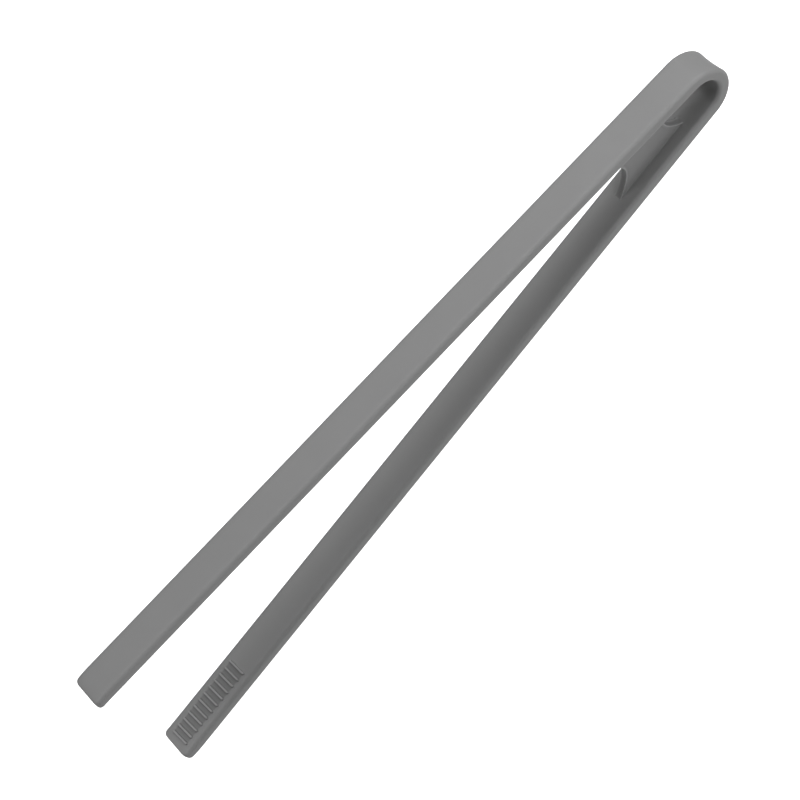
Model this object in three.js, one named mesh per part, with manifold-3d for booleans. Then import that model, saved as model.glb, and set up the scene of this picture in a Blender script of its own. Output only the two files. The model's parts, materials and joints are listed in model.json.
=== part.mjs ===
// One-piece spring tongs: a steel strip bent to a U, moulded over with silicone.
// Millimetres. The lower arm lies on its flat outer face, X runs from the bend to the tips and +Z is up.
//
// The strip flexes just past the web, so the moulding and its strip are split there into a head (bend, web
// and the first stretch of both arms) and two arms that turn about a flex line on the strip's middle.

import * as THREE from "three";
import { mergeVertices } from "three/addons/utils/BufferGeometryUtils.js";
import Module from "manifold-3d";

const wasm = await Module();
wasm.setup();

// ---- driving dimensions ----------------------------------------------------------------------------

const LENGTH = 290; // from the bend's outside to the middle of a tip, along the plane between the arms
const WIDTH = 13.4; // of both arms and the bend
const THICKNESS = 4.8; // of the silicone bar, outer face to inner face
const EDGE_RADIUS = 1.55; // of all four long edges
const BEND_RADIUS = 9.3; // of the strip's middle line in the bend
const SPREAD = THREE.MathUtils.degToRad(4.58); // of each arm from the plane between them
const DISH_DEPTH = 0.36; // of the hollow across the bend's outside

const TIP_TAPER_LENGTH = 6.5; // stretch of the outer face that slopes in to the tip
const TIP_TAPER_DEPTH = 0.95;

const WEB_THICKNESS = 2.7;
const WEB_EDGE = 0.35; // radius of the web's long edges and ends
const WEB_START = 10.2; // both measured along the arm from where the bend ends
const WEB_END = 43.2;
const WEB_BEND_HOLLOW = 4.7; // how far the end that faces the bend curves in
const WEB_TIP_HOLLOW = 8.6; // how far the end that faces the tips curves in

const RIB_COUNT = 12;
const RIB_PITCH = 2.78;
const RIB_LENGTH = 7.6;
const RIB_WIDTH = 0.95;
const RIB_HEIGHT = 0.6;
const RIB_EDGE = 0.3; // radius of a rib's top edges
const RIB_TIP_MARGIN = 3.6; // from the tip's end face to the first rib's middle

const FLEX_AT = 58; // the flex line, along the arm from where the bend ends
const FLEX_GAP = 0.6; // free space there, so that the arm turns without touching the head

const STRIP_THICKNESS = 1.2;
const STRIP_WIDTH = 8.4;
const STRIP_TIP_MARGIN = 7; // from the strip's end to the tip's end face
const HOLE_DIAMETER = 4; // holes in the strip that the silicone fills, which lock the two together
const HOLE_PITCH = 24;
const FIT = 0.3; // clearance between pieces that touch

// ---- sizes that follow from them -------------------------------------------------------------------

const OUTSIDE_RADIUS = BEND_RADIUS + THICKNESS / 2;
const ARM_X = -BEND_RADIUS * Math.sin(SPREAD); // where an arm starts, from the bend's centre
const ARM_Z = BEND_RADIUS * Math.cos(SPREAD);
const ARM_LENGTH = (LENGTH - OUTSIDE_RADIUS - ARM_X) / Math.cos(SPREAD);
const CUT_REACH = LENGTH + WIDTH; // longer than anything that is cut
const SILICONE = { color: 0x8b8b8b, roughness: 0.55, metalness: 0 };
const STEEL = { color: 0xb9bcc0, roughness: 0.3, metalness: 1 };

// ---- helpers ---------------------------------------------------------------------------------------

// A closed geometry as a solid, after its shared vertices are merged.
function solid(geometry) {
  const bare = geometry.clone();
  bare.deleteAttribute("normal");
  bare.deleteAttribute("uv");
  const merged = mergeVertices(bare, 1e-4);
  return new wasm.Manifold(
    new wasm.Mesh({
      numProp: 3,
      vertProperties: new Float32Array(merged.attributes.position.array),
      triVerts: new Uint32Array(merged.index.array),
    }),
  );
}

function namedMesh(name, body, look) {
  const made = body.getMesh();
  const geometry = new THREE.BufferGeometry();
  geometry.setAttribute("position", new THREE.BufferAttribute(made.vertProperties, 3));
  geometry.setIndex(new THREE.BufferAttribute(made.triVerts, 1));
  geometry.computeVertexNormals();
  const mesh = new THREE.Mesh(geometry, new THREE.MeshStandardMaterial(look));
  mesh.name = name;
  return mesh;
}

// A side outline, drawn in X and Z, given its width along Y about the middle. A round edge of radius
// `edge` runs along the outline on both sides, inside that width.
function plate(outline, width, edge = 0) {
  const depth = width - 2 * edge;
  const geometry = new THREE.ExtrudeGeometry(outline, {
    depth,
    curveSegments: 20,
    bevelEnabled: edge > 0,
    bevelThickness: edge,
    bevelSize: edge,
    bevelOffset: -edge,
    bevelSegments: 3,
  });
  return solid(geometry.translate(0, 0, -depth / 2).rotateX(Math.PI / 2));
}

function boxBetween(x0, x1, y0, y1, z0, z1) {
  const geometry = new THREE.BoxGeometry(x1 - x0, y1 - y0, z1 - z0);
  return solid(geometry.translate((x0 + x1) / 2, (y0 + y1) / 2, (z0 + z1) / 2));
}

// A round bar across an arm's thickness, at x along the arm.
function crossBar(diameter, height, x) {
  const geometry = new THREE.CylinderGeometry(diameter / 2, diameter / 2, height, 16);
  return solid(geometry.rotateX(Math.PI / 2).translate(x, 0, 0));
}

function joined(bodies) {
  return bodies.reduce((sum, body) => sum.add(body));
}

// The arm frame starts where the bend ends: X along the arm, Z towards its outer face.
function armPlacement(side) {
  const turn = side === "upper" ? 0 : Math.PI;
  const height = side === "upper" ? ARM_Z : -ARM_Z;
  const group = new THREE.Group();
  group.position.set(ARM_X, 0, height);
  group.rotation.set(turn, -SPREAD, 0);
  group.updateMatrix();
  return group;
}

// A solid drawn in an arm frame, moved to the head frame.
function onHead(body, side) {
  return body.transform(armPlacement(side).matrix.toArray());
}

// ---- outlines --------------------------------------------------------------------------------------

// A point of the head frame at distance x along an arm and z from its middle line, outwards.
function armPoint(side, x, z) {
  const point = new THREE.Vector3(x, 0, z).applyMatrix4(armPlacement(side).matrix);
  return new THREE.Vector2(point.x, point.z);
}

// The U seen from the side: half its thickness each way from the middle line, arms `reach` long.
function bendOutline(half, reach) {
  const first = Math.PI / 2 + SPREAD;
  const last = (3 * Math.PI) / 2 - SPREAD;
  const upperOuter = armPoint("upper", reach, half);
  const lowerOuter = armPoint("lower", reach, half);
  const lowerInner = armPoint("lower", reach, -half);
  const upperInner = armPoint("upper", reach, -half);
  const outline = new THREE.Shape();
  outline.moveTo(upperInner.x, upperInner.y);
  outline.lineTo(upperOuter.x, upperOuter.y);
  outline.absarc(0, 0, BEND_RADIUS + half, first, last, false);
  outline.lineTo(lowerOuter.x, lowerOuter.y);
  outline.lineTo(lowerInner.x, lowerInner.y);
  outline.absarc(0, 0, BEND_RADIUS - half, last, first, true);
  outline.closePath();
  return outline;
}

// The arm seen from the side: flat inner face, outer face that slopes in near the tip in two facets.
function armOutline() {
  const outer = THICKNESS / 2;
  const outline = new THREE.Shape();
  outline.moveTo(0, -outer);
  outline.lineTo(ARM_LENGTH, -outer);
  outline.lineTo(ARM_LENGTH, outer - TIP_TAPER_DEPTH);
  outline.lineTo(ARM_LENGTH - TIP_TAPER_LENGTH / 2, outer - TIP_TAPER_DEPTH / 4);
  outline.lineTo(ARM_LENGTH - TIP_TAPER_LENGTH, outer);
  outline.lineTo(0, outer);
  outline.closePath();
  return outline;
}

// The web seen from the side, between the inner faces, with both ends curved in. A quadratic curve's
// middle lies half way to its control point.
function webOutline() {
  const inner = THICKNESS / 2 + FIT;
  const nearBend = armPoint("upper", WEB_START, -inner);
  const nearTips = armPoint("upper", WEB_END, -inner);
  const outline = new THREE.Shape();
  outline.moveTo(nearTips.x, nearTips.y);
  outline.lineTo(nearBend.x, nearBend.y);
  outline.quadraticCurveTo(nearBend.x + 2 * WEB_BEND_HOLLOW, 0, nearBend.x, -nearBend.y);
  outline.lineTo(nearTips.x, -nearTips.y);
  outline.quadraticCurveTo(nearTips.x - 2 * WEB_TIP_HOLLOW, 0, nearTips.x, nearTips.y);
  return outline;
}

// ---- the steel strip and the pocket it lies in -----------------------------------------------------

// Where the strip's holes lie, along the arm: half a pitch from each end of the stretch at least.
function holeStations(from, to) {
  const count = Math.max(1, Math.floor((to - from) / HOLE_PITCH));
  const first = (from + to - (count - 1) * HOLE_PITCH) / 2;
  return Array.from({ length: count }, (_, i) => first + i * HOLE_PITCH);
}

const HEAD_HOLES = holeStations(0, FLEX_AT - FLEX_GAP / 2);
const STRIP_END = ARM_LENGTH - STRIP_TIP_MARGIN;
const ARM_HOLES = holeStations(FLEX_AT + FLEX_GAP / 2, STRIP_END);

function headBars(diameter) {
  const bars = joined(HEAD_HOLES.map((x) => crossBar(diameter, THICKNESS - EDGE_RADIUS, x)));
  return onHead(bars, "upper").add(onHead(bars, "lower"));
}

function armBars(diameter) {
  return joined(ARM_HOLES.map((x) => crossBar(diameter, THICKNESS - EDGE_RADIUS, x)));
}

function headStrip() {
  const strip = plate(bendOutline(STRIP_THICKNESS / 2, FLEX_AT - FLEX_GAP / 2), STRIP_WIDTH);
  return strip.subtract(headBars(HOLE_DIAMETER));
}

function armStrip() {
  const half = STRIP_THICKNESS / 2;
  const side = STRIP_WIDTH / 2;
  const strip = boxBetween(FLEX_AT + FLEX_GAP / 2, STRIP_END, -side, side, -half, half);
  return strip.subtract(armBars(HOLE_DIAMETER));
}

// The pockets are the strip grown by the clearance, with the silicone pins left standing in its holes.
function headPocket() {
  const pocket = plate(bendOutline(STRIP_THICKNESS / 2 + FIT, FLEX_AT), STRIP_WIDTH + 2 * FIT);
  return pocket.subtract(headBars(HOLE_DIAMETER - 2 * FIT));
}

function armPocket() {
  const half = STRIP_THICKNESS / 2 + FIT;
  const side = STRIP_WIDTH / 2 + FIT;
  const pocket = boxBetween(FLEX_AT, STRIP_END + FIT, -side, side, -half, half);
  return pocket.subtract(armBars(HOLE_DIAMETER - 2 * FIT));
}

// ---- the silicone moulding -------------------------------------------------------------------------

// The ring that hollows the bend's outside across its width. Its centre is shifted towards the tips by
// the hollow's depth, so that the cut is deepest at the bend's far end and runs out where the arms start.
function dishCutter() {
  const side = WIDTH / 2 - EDGE_RADIUS;
  const crown = (side * side + DISH_DEPTH * DISH_DEPTH) / (2 * DISH_DEPTH);
  const outside = OUTSIDE_RADIUS + THICKNESS;
  const profile = [];
  const steps = 12;
  for (let i = 0; i <= steps; i++) {
    const y = -side + (2 * side * i) / steps;
    profile.push(new THREE.Vector2(OUTSIDE_RADIUS + crown - Math.sqrt(crown * crown - y * y), y));
  }
  profile.push(new THREE.Vector2(outside, side));
  profile.push(new THREE.Vector2(outside, -side));
  profile.push(profile[0].clone());
  const ring = solid(new THREE.LatheGeometry(profile.reverse(), 72).translate(DISH_DEPTH, 0, 0));
  return ring.subtract(boxBetween(ARM_X, CUT_REACH, -WIDTH, WIDTH, -CUT_REACH, CUT_REACH));
}

function bendJacket() {
  const past = boxBetween(FLEX_AT - FLEX_GAP / 2, CUT_REACH, -WIDTH, WIDTH, -THICKNESS, THICKNESS);
  return plate(bendOutline(THICKNESS / 2, FLEX_AT + WIDTH), WIDTH, EDGE_RADIUS)
    .subtract(onHead(past, "upper"))
    .subtract(onHead(past, "lower"))
    .subtract(dishCutter())
    .subtract(headPocket());
}

// One raised cross rib with round ends, sunk by its own height into the inner face.
function gripRib(x) {
  const end = RIB_LENGTH / 2 - RIB_WIDTH / 2;
  const outline = new THREE.Shape();
  outline.absarc(0, end, RIB_WIDTH / 2 - RIB_EDGE, 0, Math.PI, false);
  outline.absarc(0, -end, RIB_WIDTH / 2 - RIB_EDGE, Math.PI, 2 * Math.PI, false);
  outline.closePath();
  const geometry = new THREE.ExtrudeGeometry(outline, {
    depth: 2 * RIB_HEIGHT - 2 * RIB_EDGE,
    curveSegments: 4,
    bevelThickness: RIB_EDGE,
    bevelSize: RIB_EDGE,
    bevelSegments: 2,
  });
  return solid(geometry.translate(x, 0, -THICKNESS / 2 - RIB_HEIGHT + RIB_EDGE));
}

function armJacket() {
  const before = boxBetween(-CUT_REACH, FLEX_AT + FLEX_GAP / 2, -WIDTH, WIDTH, -THICKNESS, THICKNESS);
  const ribs = [];
  for (let i = 0; i < RIB_COUNT; i++) {
    ribs.push(gripRib(ARM_LENGTH - RIB_TIP_MARGIN - i * RIB_PITCH));
  }
  return plate(armOutline(), WIDTH, EDGE_RADIUS).subtract(before).add(joined(ribs)).subtract(armPocket());
}

function loopWeb() {
  return plate(webOutline(), WEB_THICKNESS, WEB_EDGE);
}

// ---- assembly --------------------------------------------------------------------------------------

function armGroup(side) {
  const group = armPlacement(side);
  group.add(namedMesh(`${side}_arm_jacket`, armJacket(), SILICONE));
  group.add(namedMesh(`${side}_arm_strip`, armStrip(), STEEL));
  return group;
}

const tongs = new THREE.Group();
tongs.add(namedMesh("bend_jacket", bendJacket(), SILICONE));
tongs.add(namedMesh("bend_strip", headStrip(), STEEL));
tongs.add(namedMesh("loop_web", loopWeb(), SILICONE));
tongs.add(armGroup("upper"));
tongs.add(armGroup("lower"));

// Lay the lower arm flat, with the origin under the middle of the whole tongs.
tongs.rotation.y = -SPREAD;
tongs.updateMatrixWorld(true);
const box = new THREE.Box3().setFromObject(tongs, true);
tongs.position.set(-(box.min.x + box.max.x) / 2, 0, -box.min.z);

const group = new THREE.Group();
group.add(tongs);

export default group;
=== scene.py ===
import json
import math

import bmesh
import bpy
from mathutils import Matrix, Vector


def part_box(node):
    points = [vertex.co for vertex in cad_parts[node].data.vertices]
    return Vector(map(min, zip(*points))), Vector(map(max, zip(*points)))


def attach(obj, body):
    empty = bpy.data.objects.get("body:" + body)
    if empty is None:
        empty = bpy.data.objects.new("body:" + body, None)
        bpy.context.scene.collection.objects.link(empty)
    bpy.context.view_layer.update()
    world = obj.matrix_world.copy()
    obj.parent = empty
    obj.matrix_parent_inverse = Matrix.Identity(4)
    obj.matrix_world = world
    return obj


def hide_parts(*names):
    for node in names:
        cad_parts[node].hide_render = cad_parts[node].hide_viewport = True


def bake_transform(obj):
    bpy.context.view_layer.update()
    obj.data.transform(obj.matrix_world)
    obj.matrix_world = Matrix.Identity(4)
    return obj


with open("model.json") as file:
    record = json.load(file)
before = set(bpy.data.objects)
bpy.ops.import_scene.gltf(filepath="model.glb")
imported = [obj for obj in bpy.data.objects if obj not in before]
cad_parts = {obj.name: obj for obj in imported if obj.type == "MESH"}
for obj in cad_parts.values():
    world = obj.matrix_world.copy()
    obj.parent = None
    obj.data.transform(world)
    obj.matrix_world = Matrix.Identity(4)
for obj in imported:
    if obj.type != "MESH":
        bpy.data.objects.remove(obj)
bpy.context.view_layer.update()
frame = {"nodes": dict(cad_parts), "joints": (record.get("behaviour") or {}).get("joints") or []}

# Spring kitchen tongs: a steel strip bent to a U under one silicone moulding. Metres, X from the bend to
# the tips, Z up, with the lower arm lying flat on the table.
#
# The silicone is modelled as a skin round the bend, a skin for each arm with close rings where the strip
# flexes, and the web between the arms. Each arm has its own frame, where the bend ends: X along the arm, Y
# across its width and Z towards its outer face.

bl_info = {
    "name": "Spring kitchen tongs",
    "version": (1, 0, 0),
    "blender": (4, 5, 0),
    "location": "View3D > Sidebar > Tongs",
    "description": "Models silicone-covered spring tongs round their packed frame",
    "category": "Object",
}

MM = 0.001
SIDES = ("upper", "lower")
SKIN_OVERLAP = 0.25 * MM  # how far a raised detail is sunk into the face that it stands on
WEB_MIDDLE = 0.45  # how far either way the drawn-out web is squeezed back to its own length
SHARP_ANGLE = math.radians(50)  # faces that meet at more than this keep a sharp edge

# Marks that a skin's points carry, for its finish to follow.
ARM_PLACE = "arm_place"  # rib number, share of half a rib's length, share of half the bar's thickness
PAINTED_HIGHLIGHT = "painted_highlight"  # how much painted highlight lightens a crest or an edge, from 0 to 1
# strength of the painted highlight on the rib crests and inner edges
HIGHLIGHT_LEVEL = 0.6
HIGHLIGHT_ANGLE, HIGHLIGHT_WIDTH = 28, 12  # degrees round an inner edge from the bar's side, where its painted highlight line lies

# How finely the skins are divided.
BAR_COLUMNS, EDGE_SEGMENTS = 10, 8
STRAIGHT_STEPS, BEND_STEPS = 12, 44
FLEX_STEPS, ARM_STEPS, TAPER_STEPS, CORNER_STEPS = 16, 28, 8, 12
CROWN_STEPS, ROUND_SEGMENTS = 5, 6
WEB_COLUMNS, LIP_COLUMNS, WEB_LEVELS = 14, 6, 48

# The studio, in metres.
FLOOR_REACH = 60  # from the middle to each side
SOFTBOX_SIZE = 0.7  # share of its distance
HORIZON = 0.1  # sine of the angle over which the light from below gives way to that from above

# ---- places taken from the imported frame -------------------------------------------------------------

HINGES = {j["child"]: Vector(j["pos_m"]) for j in frame["joints"]}
BEND_LOW, BEND_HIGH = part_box("bend_jacket")
TIP_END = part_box("lower_arm_jacket")[1].x
BAR_WIDTH = BEND_HIGH.y - BEND_LOW.y


# ---- sizes and colours that a user would change -----------------------------------------------------


class TongsBarSettings(bpy.types.PropertyGroup):
    """The silicone bar that both arms and the bend are made of"""

    thickness: bpy.props.FloatProperty(
        name="Thickness", description="Outer face to inner face", default=4.8 * MM, unit="LENGTH"
    )
    edge_radius: bpy.props.FloatProperty(
        name="Edge radius", description="Of the four long edges", default=1.55 * MM, unit="LENGTH"
    )
    bend_radius: bpy.props.FloatProperty(
        name="Bend radius", description="Of the bar's middle line", default=9.3 * MM, unit="LENGTH"
    )
    spread: bpy.props.FloatProperty(
        name="Spread", description="Angle between the arms", default=math.radians(9.16), subtype="ANGLE"
    )
    dish: bpy.props.FloatProperty(
        name="Dish", description="Hollow across the bend's outside", default=0.36 * MM, unit="LENGTH"
    )
    bend_skew: bpy.props.FloatProperty(
        name="Bend skew",
        description="How much further one edge of the bend reaches",
        default=0.5 * MM,
        unit="LENGTH",
    )
    bend_lean: bpy.props.FloatProperty(
        name="Bend lean",
        description="How much fuller the bend is at the upper arm",
        default=0.3 * MM,
        unit="LENGTH",
    )
    seam: bpy.props.FloatProperty(
        name="Seam",
        description="Where the bend's skin meets an arm's, along the arm",
        default=46 * MM,
        unit="LENGTH",
    )
    taper_length: bpy.props.FloatProperty(
        name="Taper length",
        description="Outer face that slopes in to the tip",
        default=6.5 * MM,
        unit="LENGTH",
    )
    taper_depth: bpy.props.FloatProperty(
        name="Taper depth", description="Thickness lost at the tip", default=0.95 * MM, unit="LENGTH"
    )
    tip_edge: bpy.props.FloatProperty(
        name="Tip edge", description="Radius of the tip's cross edges", default=0.6 * MM, unit="LENGTH"
    )
    tip_corner: bpy.props.FloatProperty(
        name="Tip corner",
        description="Radius of the tip's upright corners",
        default=1.8 * MM,
        unit="LENGTH",
    )
    tip_skew: bpy.props.FloatProperty(
        name="Tip skew",
        description="How much further one corner of a tip reaches",
        default=0.35 * MM,
        unit="LENGTH",
    )


class TongsWebSettings(bpy.types.PropertyGroup):
    """The upright web that closes the bend into a loop"""

    thickness: bpy.props.FloatProperty(
        name="Thickness", description="Across the arms' width", default=2.6 * MM, unit="LENGTH"
    )
    start: bpy.props.FloatProperty(
        name="Start", description="From where the bend ends", default=10.2 * MM, unit="LENGTH"
    )
    end: bpy.props.FloatProperty(
        name="End", description="From where the bend ends", default=43.2 * MM, unit="LENGTH"
    )
    bend_hollow: bpy.props.FloatProperty(
        name="Bend hollow",
        description="How far the end at the bend curves in",
        default=4.7 * MM,
        unit="LENGTH",
    )
    tip_hollow: bpy.props.FloatProperty(
        name="Tip hollow",
        description="How far the end at the tips curves in",
        default=8.6 * MM,
        unit="LENGTH",
    )
    fillet: bpy.props.FloatProperty(
        name="Fillet", description="Where the web meets the arms", default=0.8 * MM, unit="LENGTH"
    )
    edge: bpy.props.FloatProperty(
        name="Edge", description="Radius of the web's upright edges", default=0.35 * MM, unit="LENGTH"
    )
    lip: bpy.props.FloatProperty(
        name="Lip",
        description="Height of the fine lip that the mould leaves there",
        default=0.22 * MM,
        unit="LENGTH",
    )


class TongsRibSettings(bpy.types.PropertyGroup):
    """The raised cross ribs that grip food"""

    count: bpy.props.IntProperty(name="Count", description="Ribs on each arm", default=12, min=1)
    pitch: bpy.props.FloatProperty(
        name="Pitch", description="From rib to rib", default=2.78 * MM, unit="LENGTH"
    )
    length: bpy.props.FloatProperty(
        name="Length", description="Across the arm", default=7.7 * MM, unit="LENGTH"
    )
    width: bpy.props.FloatProperty(
        name="Width", description="Along the arm", default=0.85 * MM, unit="LENGTH"
    )
    height: bpy.props.FloatProperty(
        name="Height", description="Above the inner face", default=0.7 * MM, unit="LENGTH"
    )
    foot: bpy.props.FloatProperty(
        name="Foot", description="Radius of the hollow round a rib's foot", default=0.18 * MM, unit="LENGTH"
    )
    tip_margin: bpy.props.FloatProperty(
        name="Tip margin", description="From the tip to the first rib", default=3.6 * MM, unit="LENGTH"
    )


class TongsFinishSettings(bpy.types.PropertyGroup):
    """Colours and surface finish"""

    silicone: bpy.props.FloatVectorProperty(
        name="Silicone", description="Colour of the silicone", subtype="COLOR", default=(0.283, 0.283, 0.284)
    )
    silicone_roughness: bpy.props.FloatProperty(
        name="Silicone roughness", description="Of the moulded skin", subtype="FACTOR", default=0.5
    )
    steel: bpy.props.FloatVectorProperty(
        name="Steel", description="Colour of the strip", subtype="COLOR", default=(0.56, 0.57, 0.59)
    )


class TongsStudioSettings(bpy.types.PropertyGroup):
    """Floor, lights and camera"""

    floor: bpy.props.FloatVectorProperty(
        name="Floor", description="Colour of the floor", subtype="COLOR", default=(0.9, 0.9, 0.9)
    )
    floor_drop: bpy.props.FloatProperty(
        name="Floor drop", description="Room for the lower arm to open", default=15 * MM, unit="LENGTH"
    )
    glow: bpy.props.FloatProperty(name="Floor glow", description="Whitens the floor", default=1.0)
    fill: bpy.props.FloatProperty(name="Fill", description="Even light from above", default=0.02)
    bounce: bpy.props.FloatProperty(name="Bounce", description="Even light from below", default=0.7)
    bend_end: bpy.props.FloatProperty(
        name="Bend end", description="Strength of the softbox close past the bend", default=1.08
    )
    far_side: bpy.props.FloatProperty(
        name="Far side", description="Strength of the high softbox on the far side", default=1.52
    )
    near_side: bpy.props.FloatProperty(
        name="Near side", description="Strength of the low softbox on the near side", default=0.9
    )
    lens: bpy.props.FloatProperty(
        name="Lens", description="Focal length of the camera", default=0.2593, unit="CAMERA"
    )
    target: bpy.props.FloatVectorProperty(
        name="Target",
        description="What the camera looks at, from the bend's centre along the middle of the tongs",
        default=(139.67 * MM, -3.26 * MM, 2.5 * MM),
        subtype="TRANSLATION",
        unit="LENGTH",
    )
    distance: bpy.props.FloatProperty(
        name="Distance", description="From the camera to its target", default=1.9, unit="LENGTH"
    )
    view_azimuth: bpy.props.FloatProperty(
        name="View azimuth",
        description="The camera's direction, round from the tips' end",
        default=math.radians(96.16),
        subtype="ANGLE",
    )
    view_elevation: bpy.props.FloatProperty(
        name="View elevation",
        description="The camera's direction, up from the plane between the arms",
        default=math.radians(57.53),
        subtype="ANGLE",
    )
    view_roll: bpy.props.FloatProperty(
        name="View roll", description="Turn of the camera", default=math.radians(36.19), subtype="ANGLE"
    )


# ---- frames ----------------------------------------------------------------------------------------


def settings():
    return bpy.context.scene


def bend_centre():
    bar = settings().tongs_bar
    radius = bar.bend_radius + bar.thickness / 2
    return Vector((BEND_LOW.x + radius, 0, radius))


def arm_frame(side):
    """Where the bend ends: X along the arm, Z towards its outer face."""
    bar = settings().tongs_bar
    if side == "lower":
        turn = Matrix.Rotation(math.pi, 4, "X")
    else:
        turn = Matrix.Rotation(-bar.spread, 4, "Y")
    outwards = turn @ Vector((0, 0, bar.bend_radius))
    return Matrix.Translation(bend_centre() + outwards) @ turn


def middle_frame():
    """At the bend's centre, with X along the plane between the arms and Z towards the upper one."""
    return Matrix.Translation(bend_centre()) @ Matrix.Rotation(-settings().tongs_bar.spread / 2, 4, "Y")


def arm_length():
    return TIP_END - arm_frame("lower").translation.x


def aimed(azimuth, elevation, distance, roll=0):
    """At a distance from the origin and facing it. The angles go round from X and up from the XY plane."""
    turn = Matrix.Rotation(azimuth, 4, "Z") @ Matrix.Rotation(math.pi / 2 - elevation, 4, "Y")
    return turn @ Matrix.Rotation(roll, 4, "Z") @ Matrix.Translation((0, 0, distance))


# ---- modelling -------------------------------------------------------------------------------------


def parts_of(geometry, kind):
    return [g for g in geometry if isinstance(g, kind)]


def rounded_face(bm, matrix, size_x, size_y, radius, segments):
    """A flat face with round corners, square to the matrix's Z."""
    scale = Matrix.Diagonal((size_x, size_y, 1, 1))
    made = bmesh.ops.create_grid(bm, x_segments=1, y_segments=1, size=0.5, matrix=matrix @ scale)
    bmesh.ops.bevel(
        bm,
        geom=made["verts"],
        offset=radius,
        offset_type="OFFSET",
        segments=segments,
        profile=0.5,
        affect="VERTICES",
        material=-1,
    )


def cut_face(bm, matrix, places, axis):
    """Cuts the faces across at each place along an axis of the matrix, which gives their rim vertices."""
    normal = matrix.to_3x3() @ axis
    for place in places:
        bmesh.ops.bisect_plane(
            bm,
            geom=bm.verts[:] + bm.edges[:] + bm.faces[:],
            dist=1e-8,
            plane_co=matrix @ (axis * place),
            plane_no=normal,
        )


def push(bm, faces, matrix):
    """Extrudes the faces and moves them by the matrix. Returns the moved faces."""
    made = bmesh.ops.extrude_face_region(bm, geom=faces)["geom"]
    bmesh.ops.transform(bm, matrix=matrix, verts=parts_of(made, bmesh.types.BMVert))
    return parts_of(made, bmesh.types.BMFace)


def bar_section(bm, placed):
    """The bar's cross section at the placed frame's origin, square to its X."""
    bar = settings().tongs_bar
    across = placed @ Matrix(((0, 0, 1, 0), (1, 0, 0, 0), (0, 1, 0, 0), (0, 0, 0, 1)))
    rounded_face(bm, across, BAR_WIDTH, bar.thickness, bar.edge_radius, EDGE_SEGMENTS)
    flat = BAR_WIDTH / 2 - bar.edge_radius
    places = [flat * (2 * i / BAR_COLUMNS - 1) for i in range(1, BAR_COLUMNS)]
    cut_face(bm, placed, places, Vector((0, 1, 0)))
    cut_face(bm, placed, [0], Vector((0, 0, 1)))
    return bm.faces[:]


def to_object(bm, name):
    """A finished mesh object at the origin, with smooth faces and its square corners kept sharp."""
    bmesh.ops.remove_doubles(bm, verts=bm.verts, dist=1e-7)
    bmesh.ops.recalc_face_normals(bm, faces=bm.faces)
    for face in bm.faces:
        face.smooth = True
    mesh = bpy.data.meshes.new(name)
    bm.to_mesh(mesh)
    bm.free()
    mesh.set_sharp_from_angle(angle=SHARP_ANGLE)
    made = bpy.data.objects.new(name, mesh)
    bpy.context.scene.collection.objects.link(made)
    return made


def shape_bend(bm):
    """Hollows the bend's outside across its width, and gives the bend its slight skew and lean."""
    bar = settings().tongs_bar
    middle = middle_frame()
    back = middle.inverted()
    dished = BAR_WIDTH / 2 - bar.edge_radius * 0.6  # the dish runs out within the round of the edges
    for vert in bm.verts:
        local = back @ vert.co
        radius = math.hypot(local.x, local.z)
        facing = -local.x / radius
        if facing <= 0:
            continue
        outer = min(1, max(0, (radius - bar.bend_radius) / (bar.thickness / 2)))
        across = max(0, 1 - (local.y / dished) ** 2)
        grow = -bar.dish * facing**2 * outer**2 * across
        grow += bar.bend_skew * facing**2 * local.y / (BAR_WIDTH / 2)
        grow += bar.bend_lean * facing**2 * 2 * local.z / radius
        local.x += grow * local.x / radius
        local.z += grow * local.z / radius
        vert.co = middle @ local


def inner_edge(y, z):
    """Near 1 on a fine line in the round of the bar's inner edges, where a painted highlight goes, and 0
    elsewhere.
    """
    bar = settings().tongs_bar
    past_y = abs(y) - BAR_WIDTH / 2 + bar.edge_radius
    past_z = -z - bar.thickness / 2 + bar.edge_radius
    if past_y < 0 or past_z < 0:
        return 0
    turned = math.degrees(math.atan2(past_z, past_y))
    return math.exp(-(((turned - HIGHLIGHT_ANGLE) / HIGHLIGHT_WIDTH) ** 2))


def rub_bend(bm):
    """Marks a painted highlight line on the inner edges of the half of the bend towards the upper arm."""
    bar = settings().tongs_bar
    painted_highlight = bm.verts.layers.float.new(PAINTED_HIGHLIGHT)
    middle, upper = middle_frame().inverted(), arm_frame("upper").inverted()
    for vert in bm.verts:
        local = middle @ vert.co
        if local.z < 0:
            continue
        level = (upper @ vert.co).z
        if local.x < 0:
            level = math.hypot(local.x, local.z) - bar.bend_radius
        vert[painted_highlight] = HIGHLIGHT_LEVEL * inner_edge(local.y, level) * min(1, local.z / bar.thickness)


def bend_skin():
    """The U: a straight stretch of the upper arm, the bend, and a straight stretch of the lower arm."""
    bar = settings().tongs_bar
    bm = bmesh.new()
    upper, lower = arm_frame("upper"), arm_frame("lower")
    faces = bar_section(bm, upper @ Matrix.Translation((bar.seam, 0, 0)))
    back = Matrix.Translation(upper.to_3x3() @ Vector((-bar.seam / STRAIGHT_STEPS, 0, 0)))
    for _ in range(STRAIGHT_STEPS):
        faces = push(bm, faces, back)
    rim = dict.fromkeys(part for face in faces for part in (*face.verts, *face.edges))
    spun = bmesh.ops.spin(
        bm,
        geom=[*faces, *rim],
        cent=bend_centre(),
        axis=(0, -1, 0),
        angle=math.pi - bar.spread,
        steps=BEND_STEPS,
        use_merge=False,
    )
    faces = parts_of(spun["geom_last"], bmesh.types.BMFace)
    forward = Matrix.Translation(lower.to_3x3() @ Vector((bar.seam / STRAIGHT_STEPS, 0, 0)))
    for _ in range(STRAIGHT_STEPS):
        faces = push(bm, faces, forward)
    rub_bend(bm)
    shape_bend(bm)
    return to_object(bm, "bend_skin")


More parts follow.
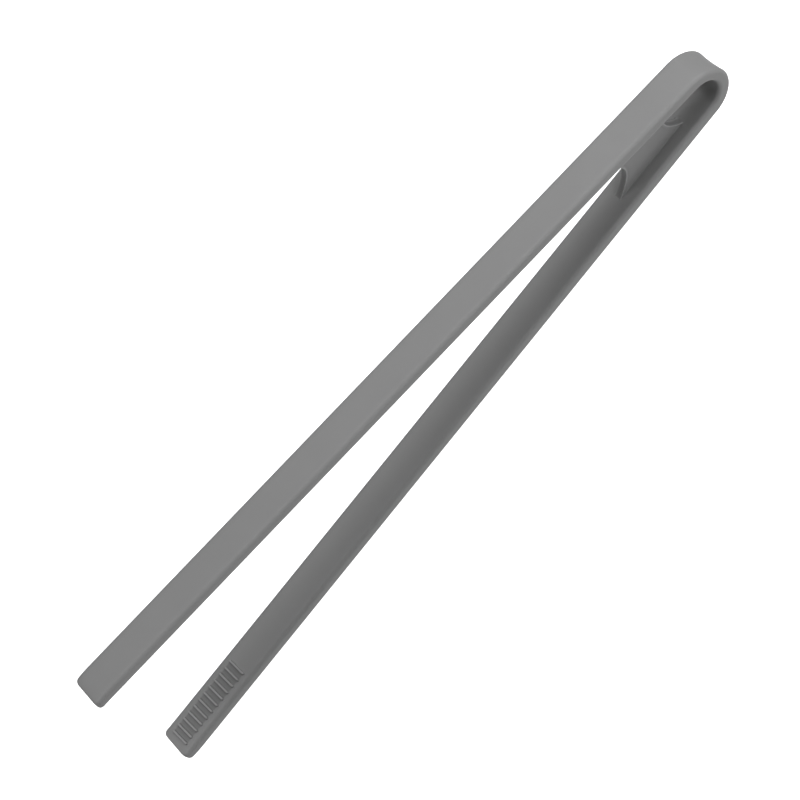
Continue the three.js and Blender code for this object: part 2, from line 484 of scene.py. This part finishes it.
def arm_stations(length):
    """Distances along an arm where its skin has a ring: close where it flexes, tapers and rounds off."""
    bar = settings().tongs_bar
    flex_end = 2 * (HINGES["lower_arm"].x - arm_frame("lower").translation.x) - bar.seam
    taper = length - bar.taper_length
    corner = length - bar.tip_corner
    stations = [bar.seam + (flex_end - bar.seam) * i / FLEX_STEPS for i in range(1, FLEX_STEPS + 1)]
    stations += [flex_end + (taper - flex_end) * i / ARM_STEPS for i in range(1, ARM_STEPS + 1)]
    stations += [taper + (corner - taper) * i / TAPER_STEPS for i in range(1, TAPER_STEPS + 1)]
    for i in range(1, CORNER_STEPS + 1):
        stations.append(corner + bar.tip_corner * math.sin(math.pi / 2 * i / CORNER_STEPS))
    return stations


def quarter_round(distance, radius):
    """How far a quarter circle has drawn in, at a distance past its start."""
    distance = min(max(distance, 0), radius)
    return radius - math.sqrt(radius**2 - distance**2)


def shape_tip(vert_co, length, skew):
    """A point of the straight bar, drawn in where the tip tapers and rounds off."""
    bar = settings().tongs_bar
    x, y, z = vert_co
    half_width, half = BAR_WIDTH / 2, bar.thickness / 2
    narrowed = half_width - quarter_round(x - length + bar.tip_corner, bar.tip_corner)
    ramp = max(0, (x - length + bar.taper_length) / bar.taper_length) ** 2
    taper = bar.taper_depth * ramp
    across = y * narrowed / half_width
    thinned = quarter_round(x - length + bar.tip_edge, bar.tip_edge)
    low, high = -half + thinned, half - taper - thinned
    share = (z + half) / (2 * half)
    return Vector((x + skew * ramp * across / half_width, across, low + (high - low) * share))


def raise_rib(bm, matrix):
    """A grip rib with round ends and a round top, which runs along the matrix's Y and stands up its Z."""
    ribs = settings().tongs_ribs
    foot = ribs.foot
    crown = 0.85 * ribs.width / 2  # less than half the width, which leaves a narrow flat top
    half_width, half_length = ribs.width / 2 + foot, ribs.length / 2 + foot
    old_verts, old_faces = set(bm.verts), set(bm.faces)
    sunk = Matrix.Translation((0, 0, -SKIN_OVERLAP))
    rounded_face(bm, sunk, 2 * half_width, 2 * half_length, 0.98 * half_width, ROUND_SEGMENTS)
    faces = [f for f in bm.faces if f not in old_faces]
    profile = [(0, 0), (foot / 2, foot / 4), (foot, foot)]  # inset and height of each ring
    for i in range(1, CROWN_STEPS + 1):
        angle = math.pi / 2 * i / CROWN_STEPS
        profile.append((foot + crown * (1 - math.cos(angle)), ribs.height - crown + crown * math.sin(angle)))
    inset, level = 0, -SKIN_OVERLAP
    for next_inset, next_level in profile:
        shrink_x = (half_width - next_inset) / (half_width - inset)
        shrink_y = (half_length - next_inset) / (half_length - inset)
        rise = Matrix.Translation((0, 0, next_level - level))
        faces = push(bm, faces, rise @ Matrix.Diagonal((shrink_x, shrink_y, 1, 1)))
        inset, level = next_inset, next_level
    bmesh.ops.transform(bm, matrix=matrix, verts=[v for v in bm.verts if v not in old_verts])


def mark_arm(bm, side, length):
    """Keeps each point's place on the arm for the finish, and marks a painted highlight on the rib crests and
    on the upper arm's inner edges.
    """
    bar, ribs = settings().tongs_bar, settings().tongs_ribs
    place = bm.verts.layers.float_vector.new(ARM_PLACE)
    painted_highlight = bm.verts.layers.float.new(PAINTED_HIGHLIGHT)
    half = bar.thickness / 2
    crest = -half - ribs.height * 0.8
    for vert in bm.verts:
        x, y, z = vert.co
        vert[place] = ((length - ribs.tip_margin - x) / ribs.pitch, y / (ribs.length / 2), z / half)
        # rib crests carry a painted highlight, and the upper arm's inner edges a painted highlight line
        if z < crest:
            vert[painted_highlight] = HIGHLIGHT_LEVEL
        elif side == "upper":
            vert[painted_highlight] = HIGHLIGHT_LEVEL * inner_edge(y, z)


def arm_skin(side):
    """One arm from the bend skin's seam to its tip, with its grip ribs."""
    bar, ribs = settings().tongs_bar, settings().tongs_ribs
    placed = arm_frame(side)
    length = arm_length()
    bm = bmesh.new()
    faces = bar_section(bm, Matrix.Translation((bar.seam, 0, 0)))
    reached = bar.seam
    for station in arm_stations(length):
        faces = push(bm, faces, Matrix.Translation((station - reached, 0, 0)))
        reached = station
    skew = bar.tip_skew if side == "upper" else -bar.tip_skew
    for vert in bm.verts:
        vert.co = shape_tip(vert.co, length, skew)
    face_up = Matrix.Rotation(math.pi, 4, "X")
    for i in range(ribs.count):
        x = length - ribs.tip_margin - i * ribs.pitch
        raise_rib(bm, Matrix.Translation((x, 0, -bar.thickness / 2)) @ face_up)
    mark_arm(bm, side, length)
    bmesh.ops.transform(bm, matrix=placed, verts=bm.verts)
    return to_object(bm, f"{side}_arm_skin")


def web_foot(bm):
    """The web's cross section, drawn out to a metre. Its ends, past WEB_MIDDLE, keep their size later."""
    web = settings().tongs_web
    here = Matrix.Identity(4)
    rounded_face(bm, here, 1, web.thickness, web.edge, ROUND_SEGMENTS)
    columns = [2 * WEB_MIDDLE * (i / WEB_COLUMNS - 0.5) for i in range(WEB_COLUMNS + 1)]
    lips = [0.5 - web.edge * (1 + i / 2) for i in range(LIP_COLUMNS)]
    cut_face(bm, here, columns + lips + [-lip for lip in lips], Vector((1, 0, 0)))
    flat = web.thickness / 2 - web.edge
    cut_face(bm, here, [flat * i / 3 for i in range(-2, 3)], Vector((0, 1, 0)))
    return bm.faces[:]


def web_skin():
    """The upright web. Its foot is a long narrow face, pushed up from the lower arm to the upper one."""
    bar, web = settings().tongs_bar, settings().tongs_web
    half_angle = bar.spread / 2
    bend_end = -bar.bend_radius * math.sin(half_angle)  # along the middle frame's X
    near_bend, near_tips = web.start + bend_end, web.end + bend_end
    lip_width = 1.1 * web.edge

    def inner_face(x):
        """Height of the upper arm's inner face over the middle plane."""
        inner = bar.bend_radius - bar.thickness / 2
        return inner * math.cos(half_angle) + (x - bend_end) * math.tan(half_angle)

    bm = bmesh.new()
    faces = web_foot(bm)
    for _ in range(WEB_LEVELS):
        faces = push(bm, faces, Matrix.Translation((0, 0, 1)))
    painted_highlight = bm.verts.layers.float.new(PAINTED_HIGHLIGHT)
    for vert in bm.verts:
        x, y, row = vert.co
        level = -math.cos(math.pi * row / WEB_LEVELS)  # -1 at the lower arm, 1 at the upper, close near both
        low = near_bend + web.bend_hollow * (1 - level**2)
        high = near_tips - web.tip_hollow * (1 - level**2)
        room = (1 - abs(level)) * inner_face((low + high) / 2)
        flare = quarter_round(web.fillet - room, web.fillet)
        low, high = low - flare, high + flare
        from_end = (0.5 - abs(x)) / lip_width
        from_side = (web.thickness / 2 - abs(y)) / lip_width
        edge = math.exp(-(from_end**2) - from_side**2)
        # the web's lip edges carry a painted highlight, besides the raised lip that the same mask gives
        vert[painted_highlight] = edge
        if x < -WEB_MIDDLE:
            along = low + (x + 0.5)
        elif x > WEB_MIDDLE:
            along = high + (x - 0.5)
        else:
            along = low + (high - low) * (x + 0.5)
        along += math.copysign(web.lip * edge, x)
        across = y * (1 + 2 * flare / web.thickness) + math.copysign(web.lip * edge, y)
        vert.co = (along, across, level * (inner_face(along) + SKIN_OVERLAP))
    bmesh.ops.transform(bm, matrix=middle_frame(), verts=bm.verts)
    return to_object(bm, "loop_web_skin")


# ---- materials -------------------------------------------------------------------------------------


class Wire:
    """A value socket of a node tree, so that shader maths reads as maths."""

    def __init__(self, nodes, socket):
        self.nodes = nodes
        self.socket = socket

    def maths(self, operation, first, second):
        sockets = {"Value": first, "Value_001": second}
        return self.nodes.add("ShaderNodeMath", {"operation": operation}, sockets)["Value"]

    def __add__(self, other):
        return self.maths("ADD", self, other)

    __radd__ = __add__

    def __mul__(self, other):
        return self.maths("MULTIPLY", self, other)

    __rmul__ = __mul__

    def __sub__(self, other):
        return self.maths("SUBTRACT", self, other)

    def __rsub__(self, other):
        return self.maths("SUBTRACT", other, self)

    def __abs__(self):
        return self.maths("ABSOLUTE", self, 0)

    def fraction(self):
        return self.maths("FRACT", self, 0)

    def step(self, low, high):
        """Rises smoothly from 0 at low to 1 at high, or falls where low is the larger."""
        options = {"interpolation_type": "SMOOTHSTEP"}
        sockets = {"Value": self, "From Min": low, "From Max": high}
        return self.nodes.add("ShaderNodeMapRange", options, sockets)["Result"]


class Nodes:
    """Adds nodes to a material or world. Sockets go by their identifiers, which tell a Mix node's apart."""

    def __init__(self, owner):
        self.owner = owner
        owner.use_nodes = True
        self.tree = owner.node_tree
        self.tree.nodes.clear()

    def add(self, kind, options=None, sockets=None):
        node = self.tree.nodes.new(kind)
        for key, value in (options or {}).items():
            setattr(node, key, value)
        inputs = {i.identifier: i for i in node.inputs}
        for key, value in (sockets or {}).items():
            if isinstance(value, Wire):
                self.tree.links.new(value.socket, inputs[key])
            else:
                inputs[key].default_value = value
        return {o.identifier: Wire(self, o) for o in node.outputs}

    def place(self, scale=(1, 1, 1)):
        here = self.add("ShaderNodeTexCoord")["Object"]
        return self.add("ShaderNodeMapping", {}, {"Vector": here, "Scale": scale})["Vector"]

    def noise(self, where, scale, detail, roughness):
        sockets = {"Vector": where, "Scale": scale, "Detail": detail, "Roughness": roughness}
        return self.add("ShaderNodeTexNoise", {}, sockets)["Fac"]

    def blend(self, factor, first, second):
        """Mixes two colours."""
        sockets = {"Factor_Float": factor, "A_Color": first, "B_Color": second}
        return self.add("ShaderNodeMix", {"data_type": "RGBA"}, sockets)["Result_Color"]

    def bump(self, height, distance, strength):
        sockets = {"Height": height, "Distance": distance, "Strength": strength}
        return self.add("ShaderNodeBump", {}, sockets)["Normal"]

    def finish(self, shader, output="ShaderNodeOutputMaterial"):
        self.add(output, {}, {"Surface": shader})
        return self.owner


def shade(colour, factor):
    return (*[min(1, c * factor) for c in colour], 1)


def between_ribs(n):
    """Where painted shade goes: 1 on the inner face between the first and the last rib, 0 on the ribs and
    everywhere else.
    """
    ribs = settings().tongs_ribs
    place = n.add("ShaderNodeAttribute", {"attribute_name": ARM_PLACE})["Vector"]
    split = n.add("ShaderNodeSeparateXYZ", {}, {"Vector": place})
    number, across, level = split["X"], split["Y"], split["Z"]
    from_rib = abs((number + 0.5).fraction() - 0.5)
    half_rib = ribs.width / ribs.pitch / 2
    gap = from_rib.step(0.6 * half_rib, 1.3 * half_rib)  # fades in down a rib's side and over its foot
    row = number.step(-0.1, 0.05) * number.step(ribs.count - 0.9, ribs.count - 1.05)
    beside = abs(across).step(1, 0.86)  # fades out towards the ribs' ends
    on_inner_face = level.step(-0.9, -0.95)
    return gap * row * beside * on_inner_face


def moulded_silicone():
    """Matte grey moulded silicone: a fine even grain, faint clouding, a few lighter specks, painted shade
    between the ribs and painted highlights on the rib crests and fine edges.
    """
    look = settings().tongs_finish
    clear, speck, gap_shade_tone, highlight_tone = [shade(look.silicone, factor) for factor in (1.05, 1.25, 0.74, 1.6)]
    n = Nodes(bpy.data.materials.new("moulded_silicone"))
    where = n.place()
    cloud = n.noise(where, scale=55, detail=3, roughness=0.55)
    grain = n.noise(where, scale=3400, detail=2, roughness=0.6)
    skin = n.noise(where, scale=900, detail=3, roughness=0.5)
    colour = n.blend(cloud, shade(look.silicone, 0.95), clear)
    colour = n.blend(grain * 0.18, colour, speck)
    # painted shade: the inner face between the ribs is darker, where the ribs' hollows shade it
    colour = n.blend(between_ribs(n), colour, gap_shade_tone)
    # painted highlight: rib crests, inner edges and the web's lip edges are lighter, as if catching the light
    colour = n.blend(n.add("ShaderNodeAttribute", {"attribute_name": PAINTED_HIGHLIGHT})["Fac"], colour, highlight_tone)
    height = grain * 0.6 + skin * 0.4
    shader = n.add(
        "ShaderNodeBsdfPrincipled",
        {},
        {
            "Base Color": colour,
            "Roughness": look.silicone_roughness - 0.06 + 0.12 * skin,
            "IOR": 1.43,
            "Normal": n.bump(height, distance=0.03 * MM, strength=0.35),
            "Sheen Weight": 0.06,
            "Sheen Roughness": 0.4,
        },
    )["BSDF"]
    return n.finish(shader)


def rolled_steel():
    """Rolled spring steel, with fine lines along the strip."""
    look = settings().tongs_finish
    n = Nodes(bpy.data.materials.new("rolled_steel"))
    lines = n.noise(n.place((1, 40, 40)), scale=120, detail=3, roughness=0.6)
    cloud = n.noise(n.place(), scale=90, detail=2, roughness=0.5)
    colour = n.blend(lines, shade(look.steel, 0.9), shade(look.steel, 1.08))
    shader = n.add(
        "ShaderNodeBsdfPrincipled",
        {},
        {
            "Base Color": colour,
            "Metallic": 1.0,
            "Roughness": 0.24 + 0.12 * lines + 0.06 * cloud,
            "Normal": n.bump(lines, distance=0.02 * MM, strength=0.3),
        },
    )["BSDF"]
    return n.finish(shader)


def floor_finish():
    """A matt floor that glows, for an even white."""
    studio = settings().tongs_studio
    n = Nodes(bpy.data.materials.new("floor_finish"))
    shader = n.add(
        "ShaderNodeBsdfPrincipled",
        {},
        {
            "Base Color": (*studio.floor, 1),
            "Roughness": 0.9,
            "Emission Color": (1, 1, 1, 1),
            "Emission Strength": studio.glow,
        },
    )["BSDF"]
    return n.finish(shader)


def shared(maker):
    """The material that a maker makes, made once."""
    return bpy.data.materials.get(maker.__name__) or maker()


def dress(piece, maker):
    piece.data.materials.clear()
    piece.data.materials.append(shared(maker))


# ---- operators -------------------------------------------------------------------------------------


class TONGS_OT_bend(bpy.types.Operator):
    """Models the silicone round the bend and the start of both arms"""

    bl_idname = "tongs.bend"
    bl_label = "Bend skin"

    def execute(self, context):
        piece = bend_skin()
        dress(piece, moulded_silicone)
        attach(piece, "head")
        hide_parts("bend_jacket")
        return {"FINISHED"}


class TONGS_OT_web(bpy.types.Operator):
    """Models the web that closes the bend into a hanging loop"""

    bl_idname = "tongs.web"
    bl_label = "Loop web"

    def execute(self, context):
        piece = web_skin()
        dress(piece, moulded_silicone)
        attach(piece, "head")
        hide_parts("loop_web")
        return {"FINISHED"}


class TONGS_OT_arms(bpy.types.Operator):
    """Models the silicone of both arms, with their grip ribs and close rings where the strip flexes"""

    bl_idname = "tongs.arms"
    bl_label = "Arm skins"

    def execute(self, context):
        for side in SIDES:
            piece = arm_skin(side)
            dress(piece, moulded_silicone)
            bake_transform(piece)
            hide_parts(f"{side}_arm_jacket")
        return {"FINISHED"}


class TONGS_OT_strips(bpy.types.Operator):
    """Gives the spring strip inside the silicone its steel finish"""

    bl_idname = "tongs.strips"
    bl_label = "Spring strip"

    def execute(self, context):
        for name, node in frame["nodes"].items():
            if name.endswith("_strip"):
                dress(node, rolled_steel)
        return {"FINISHED"}


class TONGS_OT_stage(bpy.types.Operator):
    """Sets the pale floor, the soft lights and the camera"""

    bl_idname = "tongs.stage"
    bl_label = "Studio"

    def execute(self, context):
        scene = context.scene
        studio = scene.tongs_studio
        scene.view_settings.view_transform = "Standard"
        self.floor(studio)
        self.world(studio)
        self.softbox("bend_end", studio.bend_end, azimuth=180, elevation=45, distance=0.65)
        self.softbox("far_side", studio.far_side, azimuth=-45, elevation=72, distance=6)
        self.softbox("near_side", studio.near_side, azimuth=125, elevation=25, distance=0.7)
        self.camera(studio)
        return {"FINISHED"}

    def floor(self, studio):
        """A wide pale floor, a little under the tongs, that neither lights nor shades them."""
        bm = bmesh.new()
        drop = Matrix.Translation((0, 0, -studio.floor_drop))
        bmesh.ops.create_grid(bm, x_segments=1, y_segments=1, size=FLOOR_REACH, matrix=drop)
        mesh = bpy.data.meshes.new("studio_floor")
        bm.to_mesh(mesh)
        bm.free()
        floor = bpy.data.objects.new("studio_floor", mesh)
        bpy.context.scene.collection.objects.link(floor)
        dress(floor, floor_finish)
        floor.visible_diffuse = False
        floor.visible_glossy = False
        floor.visible_shadow = False

    def world(self, studio):
        """Even light all round: dim from above, and from below the bounce that a white floor gives."""
        n = Nodes(bpy.data.worlds.new("studio"))
        here = n.add("ShaderNodeTexCoord")["Generated"]
        height = n.add("ShaderNodeSeparateXYZ", {}, {"Vector": here})["Z"]
        limits = {"Value": height, "From Min": -HORIZON, "From Max": HORIZON}
        above = n.add("ShaderNodeMapRange", {}, limits)["Result"]
        light = studio.bounce + above * (studio.fill - studio.bounce)
        sockets = {"Color": (1, 1, 1, 1), "Strength": light}
        background = n.add("ShaderNodeBackground", {}, sockets)["Background"]
        bpy.context.scene.world = n.finish(background, "ShaderNodeOutputWorld")

    def softbox(self, name, strength, azimuth, elevation, distance):
        """A round softbox: its direction in degrees, round from X and up from the floor, and its distance."""
        light = bpy.data.lights.new(name, "AREA")
        light.shape = "DISK"
        light.size = distance * SOFTBOX_SIZE
        light.energy = strength * math.pi * distance**2
        lamp = bpy.data.objects.new(name, light)
        lamp.matrix_world = aimed(math.radians(azimuth), math.radians(elevation), distance)
        lamp.visible_camera = False
        bpy.context.scene.collection.objects.link(lamp)

    def camera(self, studio):
        """The camera looks down on the upper arm's outer face from the near side."""
        data = bpy.data.cameras.new("camera")
        data.lens_unit = "MILLIMETERS"
        data.lens = studio.lens / MM
        data.sensor_width = 36
        data.clip_end = 50
        camera = bpy.data.objects.new("camera", data)
        view = aimed(studio.view_azimuth, studio.view_elevation, studio.distance, studio.view_roll)
        camera.matrix_world = middle_frame() @ Matrix.Translation(studio.target) @ view
        bpy.context.scene.collection.objects.link(camera)
        bpy.context.scene.camera = camera


class TONGS_PT_panel(bpy.types.Panel):
    """Lists the steps that model the tongs"""

    bl_idname = "TONGS_PT_panel"
    bl_label = "Spring tongs"
    bl_space_type = "VIEW_3D"
    bl_region_type = "UI"
    bl_category = "Tongs"

    def draw(self, context):
        for operator in OPERATORS:
            self.layout.operator(operator.bl_idname)


OPERATORS = (TONGS_OT_bend, TONGS_OT_web, TONGS_OT_arms, TONGS_OT_strips, TONGS_OT_stage)
SETTINGS = {
    "tongs_bar": TongsBarSettings,
    "tongs_web": TongsWebSettings,
    "tongs_ribs": TongsRibSettings,
    "tongs_finish": TongsFinishSettings,
    "tongs_studio": TongsStudioSettings,
}


def register():
    for made in (*SETTINGS.values(), *OPERATORS, TONGS_PT_panel):
        bpy.utils.register_class(made)
    for name, group in SETTINGS.items():
        setattr(bpy.types.Scene, name, bpy.props.PointerProperty(type=group))


def unregister():
    for name in SETTINGS:
        delattr(bpy.types.Scene, name)
    for made in reversed((*SETTINGS.values(), *OPERATORS, TONGS_PT_panel)):
        bpy.utils.unregister_class(made)


def main():
    register()
    bpy.ops.tongs.bend()
    bpy.ops.tongs.web()
    bpy.ops.tongs.arms()
    bpy.ops.tongs.strips()
    bpy.ops.tongs.stage()


if __name__ == "__main__":
    main()
